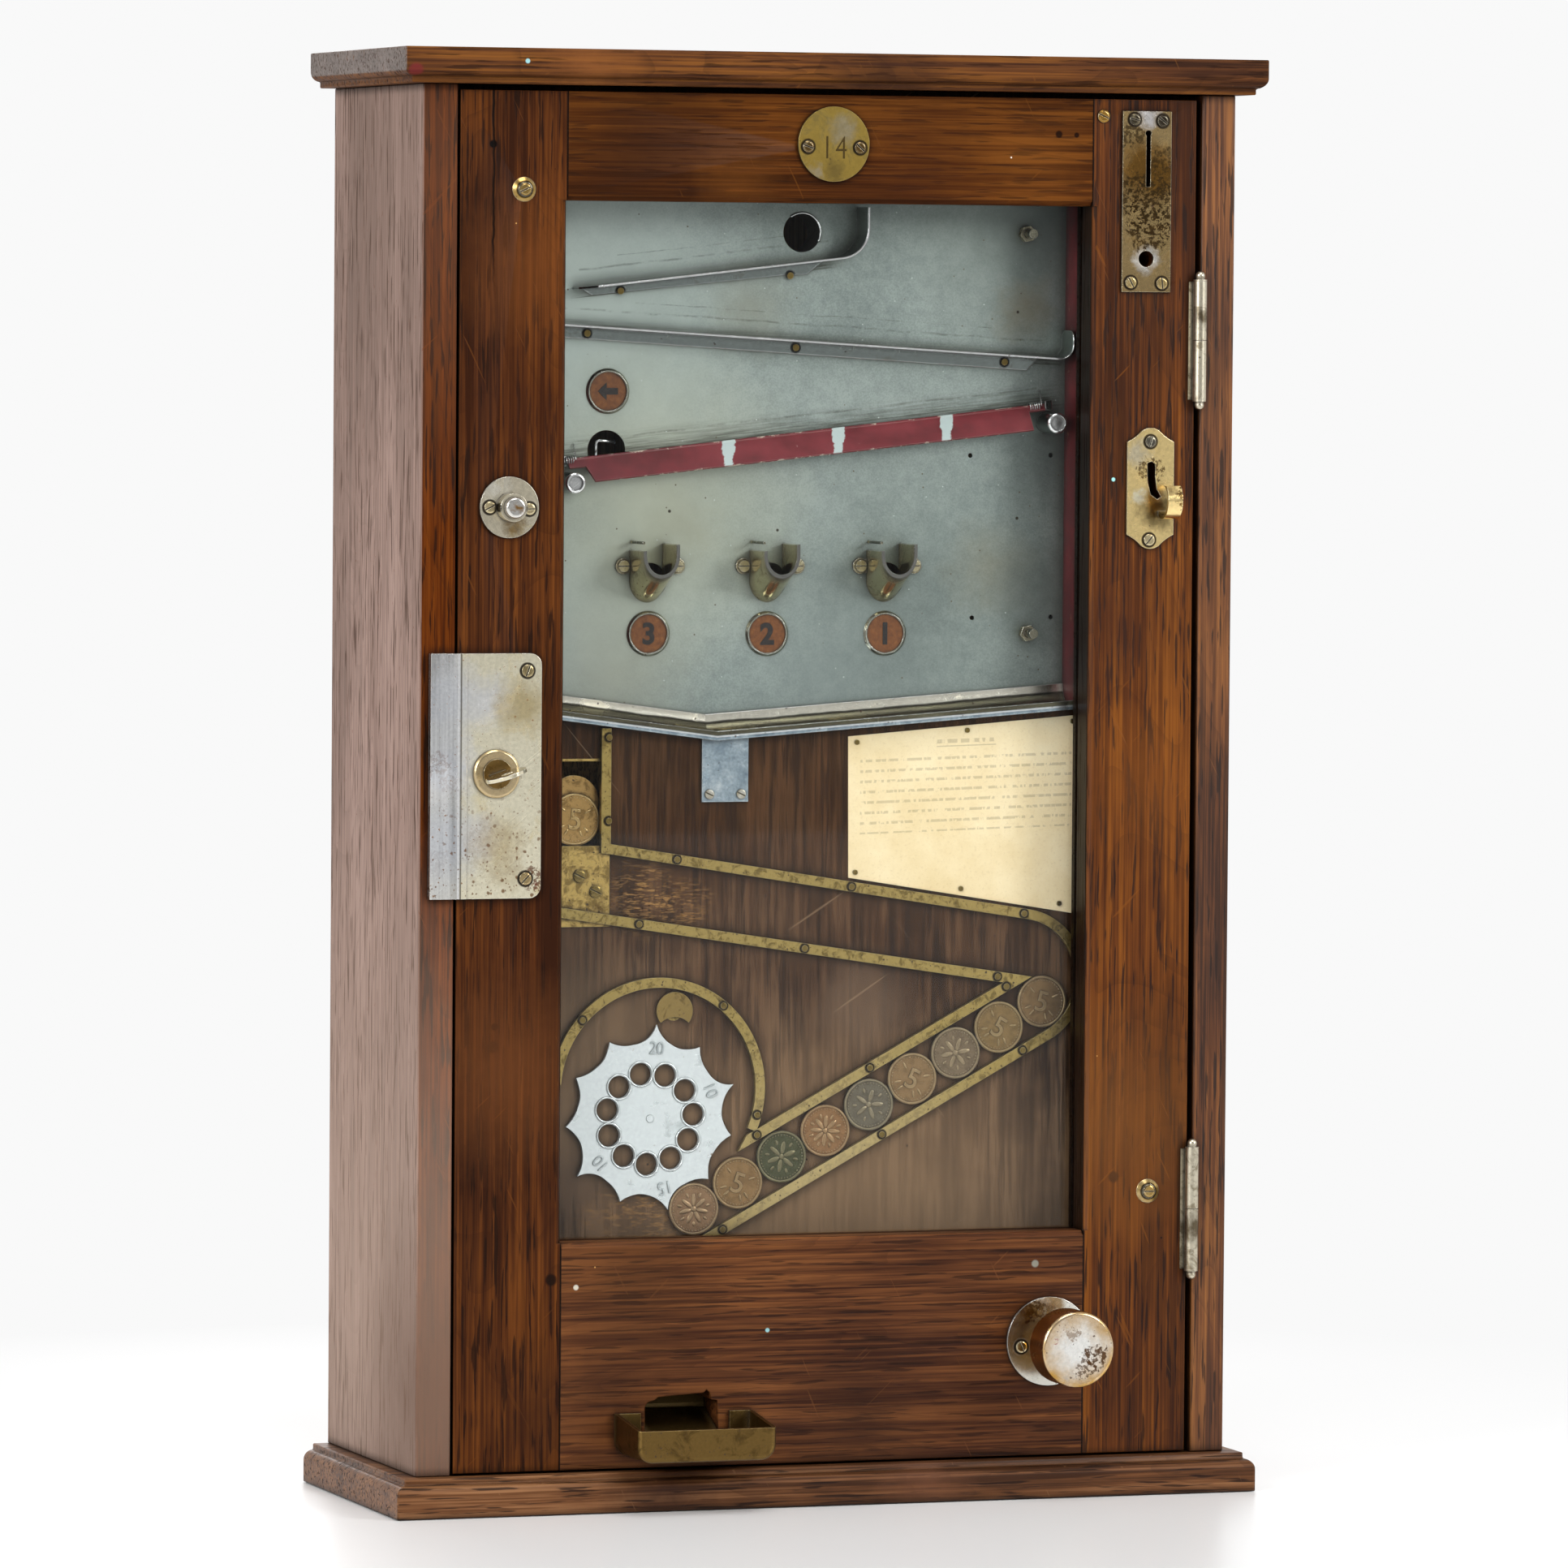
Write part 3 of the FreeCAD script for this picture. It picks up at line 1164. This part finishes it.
def make_door():
    d = door_thick
    rebate = box(win_left - glass_rebate, win_right + glass_rebate, d - rebate_depth, d + 1,
                 win_bottom - glass_rebate, win_top + glass_rebate)
    wedges = [chamfer_wedge(win_left, win_left, win_bottom, win_top),
              chamfer_wedge(win_right, win_right, win_bottom, win_top),
              chamfer_wedge(win_left, win_right, win_bottom, win_bottom),
              chamfer_wedge(win_left, win_right, win_top, win_top)]
    tenon_y0 = (d - tenon_thick) / 2 - 1
    tenons = []
    rails = []
    for z0, z1 in ((win_top, door_top), (door_bottom, win_bottom)):
        tenon = box(win_left - tenon_long, win_right + tenon_long, tenon_y0, tenon_y0 + tenon_thick,
                    z0 + tenon_shoulder, z1 - tenon_shoulder)
        tenons.append(tenon)
        rails.append(fuse([box(win_left, win_right, 0, d, z0, z1), tenon]))
    screws = []
    for spots in (coin_plate_screws, return_screws, button_screws, tag_screws, rose_screws):
        screws.extend((x, z, -plate_sheet, 2.9) for x, z in spots)
    screws.extend((x, z, -lock_field_thick, 3.1) for x, z in lock_screws)
    screws.extend((x, z, -1.6, 3.2) for x, z in washer_screws)
    screws.extend((x, z, 0.0, 3.2) for x, z in plain_screws)
    holes = [shank_hole(x, z, face) for x, z, face, head in screws]
    stile_left = box(door_left, win_left, 0, d, door_bottom, door_top)
    stile_right = box(win_right, door_right, 0, d, door_bottom, door_top)
    left_tools = tenons + [rebate] + wedges + holes + [
        rod(lock_x, lock_z, -1, d + 1, lock_barrel_radius),
        rod(button_x, button_z, -1, d + 1, button_guide_radius)]
    leaf_seats = [box(door_right - hinge_lap, door_right + 1, -1, hinge_leaf, z0, z1)
                  for z0, split, z1 in (upper_hinge, lower_hinge)]
    right_tools = tenons + [rebate] + wedges + holes + leaf_seats + [
        box(coin_slot_x - 1.6, coin_slot_x + 1.6, -1, d + 1, coin_slot_low - 0.5, coin_slot_high + 0.5),
        rod(*coin_hole, -1, d + 1, coin_hole_radius),
        slab([(return_x - 2.2, return_low + 44.8), (return_x + 3.3, return_low + 44.8),
              (return_x + 6.3, return_low + 24.4), (return_x + 0.8, return_low + 24.4)], -1, d + 1)]
    save("stile_left", cut_all(stile_left, left_tools))
    save("stile_right", cut_all(stile_right, right_tools))
    save("rail_top", cut_all(rails[0], [rebate] + wedges + holes))
    a, b, top = mouth_left, mouth_right, mouth_high
    mouth = slab([(a, mouth_low), (a, top - 5.5), (a + 1.6, top - 3), (a + 5.3, top - 2), (a + 6.9, top - 0.6),
                  (b - 8.2, top + 1), (b - 6.6, top + 2.5), (b - 4.8, top + 1), (b - 4, top - 2.5),
                  (b - 0.8, top - 3), (b, mouth_low)], -1, d + 1)
    shaft = rod(knob_x, knob_z, -1, d + 1, knob_shaft_radius + running)
    save("rail_bottom", cut_all(rails[1], [rebate, mouth, shaft] + wedges + holes))
    glass = box(win_left - glass_rebate, win_right + glass_rebate,
                d - rebate_depth, d - rebate_depth + glass_thick,
                win_bottom - glass_rebate, win_top + glass_rebate)
    save("glass", glass)
    bead0, bead1 = d - rebate_depth + glass_thick, d
    g = glass_rebate
    save("glazing_beads",
         box(win_left - g, win_left, bead0, bead1, win_bottom, win_top),
         box(win_right, win_right + g, bead0, bead1, win_bottom, win_top),
         box(win_left - g, win_right + g, bead0, bead1, win_bottom - g, win_bottom),
         box(win_left - g, win_right + g, bead0, bead1, win_top, win_top + g))
    pieces = [screw(x, z, face, head, 1.1, 15 + 23 * k) for k, (x, z, face, head) in enumerate(screws)]
    washers = []
    for x, z in washer_screws:
        dish = Part.makeCone(6.2, 3.6, 1.6, Vector(x, 0, z), Vector(0, -1, 0))
        washers.append(dish.cut(rod(x, z, -3, 1, screw_shank)))
    save("door_screws", *(pieces + washers))


def make_door_plates():
    plate = box(coin_plate_x - coin_plate_width / 2, coin_plate_x + coin_plate_width / 2,
                -plate_sheet, 0, coin_plate_low, coin_plate_top)
    tools = [shank_hole(x, z, -plate_sheet) for x, z in coin_plate_screws]
    tools.append(box(coin_slot_x - 1.2, coin_slot_x + 1.2, -3, 1, coin_slot_low, coin_slot_high))
    tools.append(rod(coin_slot_x, coin_slot_high - 0.6, -3, 1, 1.7))
    tools.append(rod(*coin_hole, -3, 1, coin_hole_radius))
    save("coin_plate", cut_all(plate, tools))
    tag = rod(tag_x, tag_z, -plate_sheet, 0, tag_radius)
    save("number_tag", cut_all(tag, [shank_hole(x, z, -plate_sheet) for x, z in tag_screws]))
    # Return plate: rounded ends, curved slot, and a lip that curls forward beside the slot.
    c = return_x
    h = return_half
    low, high = return_low, return_high
    plate = return_outline(c, h, low, high)
    slot = slab([(c - 1.8, low + 43.4), (c + 0.4, low + 44.2), (c + 2.6, low + 42.9), (c + 2.5, low + 36.5),
                 (c + 3.4, low + 30.3), (c + 5.8, low + 26.3), (c + 3.8, low + 24.9), (c + 0.2, low + 27.3),
                 (c - 1.6, low + 33.5)], -5, 1)
    lip = return_lip()
    tools = [shank_hole(x, z, -plate_sheet) for x, z in return_screws] + [slot]
    save("return_plate", fuse([cut_all(plate, tools), lip]))
    # Lock plate: flat field over the stile and a raised lap over the case's edge.
    field = box(lock_ridge_x, lock_plate_right, -lock_field_thick, 0, lock_plate_low, lock_plate_high)
    corners = [e for e in field.Edges if e.BoundBox.YLength > 2 and
               abs(e.CenterOfMass.x - lock_plate_right) < 0.01]
    field = field.makeFillet(6.0, corners)
    lap = box(lock_plate_left, lock_ridge_x + 2, -lock_field_thick - lock_lap_step, -free,
              lock_plate_low, lock_plate_high)
    tools = [shank_hole(x, z, -lock_field_thick) for x, z in lock_screws]
    tools.append(rod(lock_x, lock_z, -9, 1, lock_barrel_radius))
    save("lock_plate", cut_all(fuse([field, lap]), tools))
    front = -lock_field_thick - lock_ring_high
    collar = ring(lock_x, lock_z, front, -lock_field_thick, lock_ring_radius, lock_plug_radius + running)
    outer_edges = [e for e in collar.Edges if abs(e.CenterOfMass.y - front) < 0.01
                   and e.BoundBox.XLength > 20]
    collar = collar.makeFillet(1.4, outer_edges)
    barrel = ring(lock_x, lock_z, -lock_field_thick, door_thick, lock_barrel_radius, lock_plug_radius + running)
    save("lock_ring", fuse([collar, barrel]))
    rose = ring(button_x, button_z, -plate_sheet, 0, button_rose_radius, button_guide_radius)
    guide = ring(button_x, button_z, -button_guide_reach, door_thick,
                 button_guide_radius, button_radius + running)
    rose = cut_all(rose, [shank_hole(x, z, -plate_sheet) for x, z in button_screws])
    save("button_escutcheon", fuse([rose, guide]))
    rose = ring(knob_x, knob_z, -plate_sheet, 0, rose_radius, neck_radius + seat)
    save("knob_rose", cut_all(rose, [shank_hole(x, z, -plate_sheet) for x, z in rose_screws]))


def return_outline(c, half, low, high):
    # Straight sides, a hollow shoulder at each corner and a rounded tip at each end.
    def p(x, z):
        return Vector(x, -plate_sheet, z)

    def end(tip, way):
        shoulder = tip - way * return_shoulder
        hollow = tip - way * return_shoulder * 0.69
        round_foot = tip - way * 1.6
        return [Part.Arc(p(c - half, shoulder), p(c - half * 0.69, hollow), p(c - 4.8, round_foot)).toShape(),
                Part.Arc(p(c - 4.8, round_foot), p(c, tip), p(c + 4.8, round_foot)).toShape(),
                Part.Arc(p(c + 4.8, round_foot), p(c + half * 0.69, hollow), p(c + half, shoulder)).toShape()]
    side_low, side_high = low + return_shoulder, high - return_shoulder
    lines = [Part.makeLine(p(c - half, side_low), p(c - half, side_high)),
             Part.makeLine(p(c + half, side_high), p(c + half, side_low))]
    edges = Part.sortEdges(end(high, 1) + end(low, -1) + lines)[0]
    return Part.Face(Part.Wire(edges)).extrude(Vector(0, plate_sheet, 0))


def return_lip():
    # Strip that leaves the plate under the slot and curls forward and up.
    x0 = return_x + 4.0
    x1 = x0 + lip_width
    centre_z = return_low + 24.6
    y_mid = -plate_sheet - 6.0
    curl = rod_x(x0, x1, y_mid, centre_z, lip_radius)
    curl = curl.cut(rod_x(x0 - 1, x1 + 1, y_mid, centre_z, lip_radius - lip_sheet))
    open_top = box(x0 - 1, x1 + 1, -knob_reach, 0, centre_z + 7.5, return_high)
    open_back = box(x0 - 1, x1 + 1, y_mid, 0, centre_z - 5.5, return_high)
    behind = box(x0 - 1, x1 + 1, -plate_sheet, door_thick, return_low, return_high)
    return curl.cut(open_top).cut(open_back).cut(behind)


# ---------------------------------------------------------------- lock plug, button and knob


def make_controls():
    front = -lock_field_thick - 3.2
    plug = rod(lock_x, lock_z, front, door_thick + 1, lock_plug_radius)
    cam_y0, cam_y1 = door_thick + 1, door_thick + 3.5
    cam = fuse([rod(lock_x, lock_z, cam_y0, cam_y1, lock_plug_radius + 1),
                box(lock_x - 4.5, lock_x + 4.5, cam_y0, cam_y1, lock_z, lock_z + lock_cam_reach)])
    keyway = box(lock_x - 0.9, lock_x + 0.9, front - 1, front + 8, lock_z - 4.6, lock_z + 4.6)
    keyway = turned(keyway, lock_x, lock_z, key_turn)
    blade = box(lock_x - 0.9, lock_x + 0.9, front - 5, front + 8, lock_z - 4.0, lock_z + 4.0)
    bow = rod_x(lock_x - 0.9, lock_x + 0.9, front - 14, lock_z, 10.5)
    bow = bow.cut(rod_x(lock_x - 2, lock_x + 2, front - 17, lock_z, 3.0))
    key = turned(fuse([blade, bow]), lock_x, lock_z, key_turn)
    save("lock_plug", fuse([plug.cut(keyway), cam]))
    save("key", key)
    button = rod(button_x, button_z, -button_reach, board_front - 5.2, button_radius)
    edges = [e for e in button.Edges if abs(e.CenterOfMass.y + button_reach) < 0.3
             and e.BoundBox.XLength > 9]
    save("push_button", button.makeFillet(1.6, edges[:1]))
    head = rod(knob_x, knob_z, -knob_reach, -knob_reach + knob_thick, knob_radius)
    rims = [e for e in head.Edges if len(e.Vertexes) == 1 or e.BoundBox.XLength > knob_radius]
    head = head.makeFillet(1.8, [e for e in rims if e.BoundBox.YLength < 0.01])
    neck = rod(knob_x, knob_z, -knob_reach + knob_thick, -0.4, neck_radius)
    shaft = rod(knob_x, knob_z, -0.4, door_thick + 1.5, knob_shaft_radius)
    tongue = box(knob_x - 7.5, knob_x + 7.5, door_thick + 1.0, board_front - 3.2,
                 knob_z - 1.5, knob_z + 1.5)
    save("turn_knob", fuse([head, neck, shaft, tongue]))


def rod_x(x0, x1, y, z, radius):
    return Part.makeCylinder(radius, x1 - x0, Vector(x0, y, z), Vector(1, 0, 0))


# ---------------------------------------------------------------- release latch


def latch_pivot():
    lugs = []
    for z0 in (button_z - 9.0, button_z + 6.0):
        lugs.append(box(-inner, latch_pivot_x + 3, latch_pivot_y - 3, board_front, z0, z0 + 3.0))
    pin = Part.makeCylinder(latch_pin_radius, 18.0, Vector(latch_pivot_x, latch_pivot_y, button_z - 9.0),
                            Vector(0, 0, 1))
    return [fuse(lugs + [pin])]


def make_latch():
    boss = Part.makeCylinder(3.0, 10.0, Vector(latch_pivot_x, latch_pivot_y, button_z - 5.0), Vector(0, 0, 1))
    blade = box(latch_pivot_x, latch_end_x, latch_pivot_y - latch_blade_half,
                latch_pivot_y + latch_blade_half, button_z - latch_half_high, button_z + latch_half_high)
    bore = Part.makeCylinder(latch_pin_radius + running, 20.0,
                             Vector(latch_pivot_x, latch_pivot_y, button_z - 10), Vector(0, 0, 1))
    save("release_latch", fuse([boss, blade]).cut(bore))


# ---------------------------------------------------------------- payout tray
def make_tray():
    outer = box(tray_left, tray_right, -tray_depth, 0, tray_low, tray_high)
    edges = []
    for edge in outer.Edges:
        mid = edge.CenterOfMass
        low = abs(mid.z - tray_low) < 0.01
        end = abs(mid.x - tray_left) < 0.01 or abs(mid.x - tray_right) < 0.01
        if low and end:
            edges.append(edge)
    outer = outer.makeFillet(8.0, edges)
    front = [e for e in outer.Edges if abs(e.CenterOfMass.y + tray_depth) < 0.01
             and e.CenterOfMass.z < tray_high - 0.5]
    outer = outer.makeFillet(3.0, [e for e in front if e.CenterOfMass.z < tray_high - 1])
    w = tray_wall
    room = box(tray_left + w, tray_right - w, -tray_depth + w, -w, tray_low + w, tray_high + 1)
    low_edges = [e for e in room.Edges
                 if abs(e.CenterOfMass.z - tray_low - w) < 0.01 and e.BoundBox.XLength < 0.01]
    room = room.makeFillet(6.0, low_edges)
    tray = outer.cut(room)
    # The rim falls towards the front, and the back wall is open in front of the mouth.
    side, past, above = tray_left - 1, -tray_depth - 1, tray_high + 1
    fall = Part.Face(Part.makePolygon([
        Vector(side, -w, tray_high), Vector(side, -tray_depth, tray_front_high),
        Vector(side, past, tray_front_high), Vector(side, past, above),
        Vector(side, -w, above), Vector(side, -w, tray_high)]))
    tray = tray.cut(fall.extrude(Vector(tray_right - tray_left + 2, 0, 0)))
    tray = tray.cut(box(tray_left + tray_tabs[0], tray_right - tray_tabs[1], -w - 1, 1, mouth_low, above))
    # Sloping tongue that leads the coins through the door.
    x0, x1 = mouth_left + free, mouth_right - free

    def p(y, z):
        return Vector(x0, y, z)
    rear, lip = door_thick - 0.5, -9.0
    slope = [p(rear, mouth_low + slide_rise), p(0, mouth_low + slide_sheet),
             p(lip, mouth_low - slide_drop + slide_sheet), p(lip, mouth_low - slide_drop),
             p(0, mouth_low), p(rear, mouth_low + slide_rise - slide_sheet)]
    tongue = Part.Face(Part.makePolygon(slope + slope[:1])).extrude(Vector(x1 - x0, 0, 0))
    prop = box(x0, x1, -w, 0, mouth_low - 4, mouth_low)
    save("payout_tray", fuse([tray, tongue, prop]))


# ---------------------------------------------------------------- assembly
def make_case_fasteners(pins, screws):
    rivets = [rivet(x, z, face, head, head * 0.5, depth) for x, z, face, head, depth in pins]
    save("case_fasteners", *(rivets + [screw(x, z, face, head) for x, z, face, head in screws]))


def main():
    os.makedirs("parts", exist_ok=True)
    make_case()
    pins = []
    screws = []
    for x, z, face in make_gutter():
        screws.append((x, z, face, 2.35))
    outer, inner_track = make_tracks(pins)
    board_pins = list(pins)
    make_magazine(outer, inner_track, screws)
    make_coin_chute()
    pin_holes = [rivet_hole(x, z, face, head, depth) for x, z, face, head, depth in board_pins]
    screw_holes = [shank_hole(x, z, face) for x, z, face, head in screws]
    make_boards(pin_holes, screw_holes)
    plate_holes = []
    rails = []
    for rail, spots, face, depth in (make_upper_rail(pins), make_middle_rail(pins)):
        rails.append(rail)
        plate_holes.extend(rivet_hole(x, z, face, rail_pin_radius, depth) for x, z in spots)
    save("ball_rails", *rails)
    make_red_rail()
    cup_screws = []
    make_cups(cup_screws)
    plate_holes.extend(make_studs(cup_screws))
    make_plate(plate_holes)
    make_discs()
    make_case_fasteners(pins, screws)
    make_ball_guides()
    make_lift()
    make_bushes()
    make_wheel()
    make_payout()
    make_hinges()
    make_door()
    make_door_plates()
    make_controls()
    make_latch()
    make_tray()


main()
